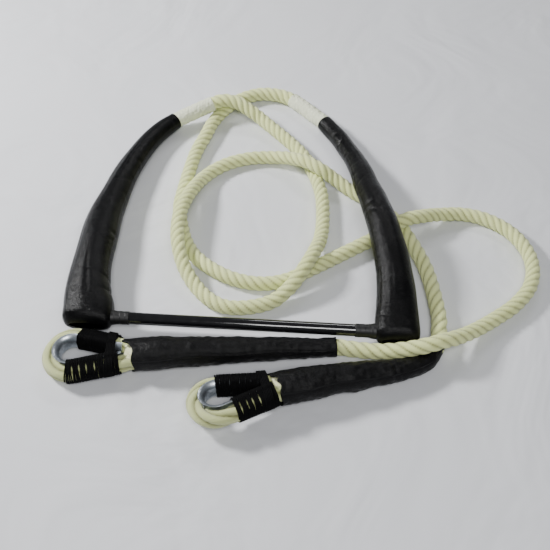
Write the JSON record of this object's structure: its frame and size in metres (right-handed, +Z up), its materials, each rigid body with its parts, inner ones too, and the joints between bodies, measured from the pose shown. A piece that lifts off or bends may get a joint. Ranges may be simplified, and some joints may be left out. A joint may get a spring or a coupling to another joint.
{
  "type": "static trapeze",
  "caption": "Padded circus trapeze laid flat: black bar, two leather-covered rope arms and two cotton ropes ending in leather-sleeved thimble eyes.",
  "frame": {"origin": "on the floor, in the middle of the footprint of the bar and its two padded arms", "axes": "+X along the bar, +Y from the bar towards the arm tips, +Z up"},
  "size_m": [1.0001, 0.9941, 0.1074],
  "materials": {
    "bar_paint": "gloss black paint",
    "plug_plastic": "matt",
    "collar_steel": "brushed",
    "rope_cotton": "natural cotton, laid",
    "seizing_twine": "waxed",
    "padding": "felt padding",
    "arm_leather": "glossy black",
    "sleeve_leather": "soft matt black",
    "black_thread": "waxed thread",
    "black_tape": "gloss",
    "white_tape": "cloth tape",
    "thimble_zinc": "galvanised",
    "black_twine": "waxed twine"
  },
  "bodies": {
    "root": {"bar_tube": "bar_paint", "left_bar_plug": "plug_plastic", "right_bar_plug": "plug_plastic", "left_inner_collar": "collar_steel", "right_inner_collar": "collar_steel", "left_outer_collar": "collar_steel", "right_outer_collar": "collar_steel", "left_core_rope": "rope_cotton", "right_core_rope": "rope_cotton", "left_bar_seizing": "seizing_twine", "right_bar_seizing": "seizing_twine", "left_arm_padding": "padding", "right_arm_padding": "padding", "left_arm_cover": "arm_leather", "right_arm_cover": "arm_leather", "left_cover_stitching": "black_thread", "right_cover_stitching": "black_thread", "left_bar_cuff": "black_tape", "right_bar_cuff": "black_tape", "left_tip_tape": "white_tape", "right_tip_tape": "white_tape", "left_rope": "rope_cotton", "right_rope": "rope_cotton", "left_sleeve": "sleeve_leather", "right_sleeve": "sleeve_leather", "left_sleeve_stitching": "black_thread", "right_sleeve_stitching": "black_thread", "left_eye_rope": "rope_cotton", "right_eye_rope": "rope_cotton", "left_thimble": "thimble_zinc", "right_thimble": "thimble_zinc", "left_upper_whipping": "black_twine", "right_upper_whipping": "black_twine", "left_lower_whipping": "black_twine", "right_lower_whipping": "black_twine"}
  },
  "joints": []
}
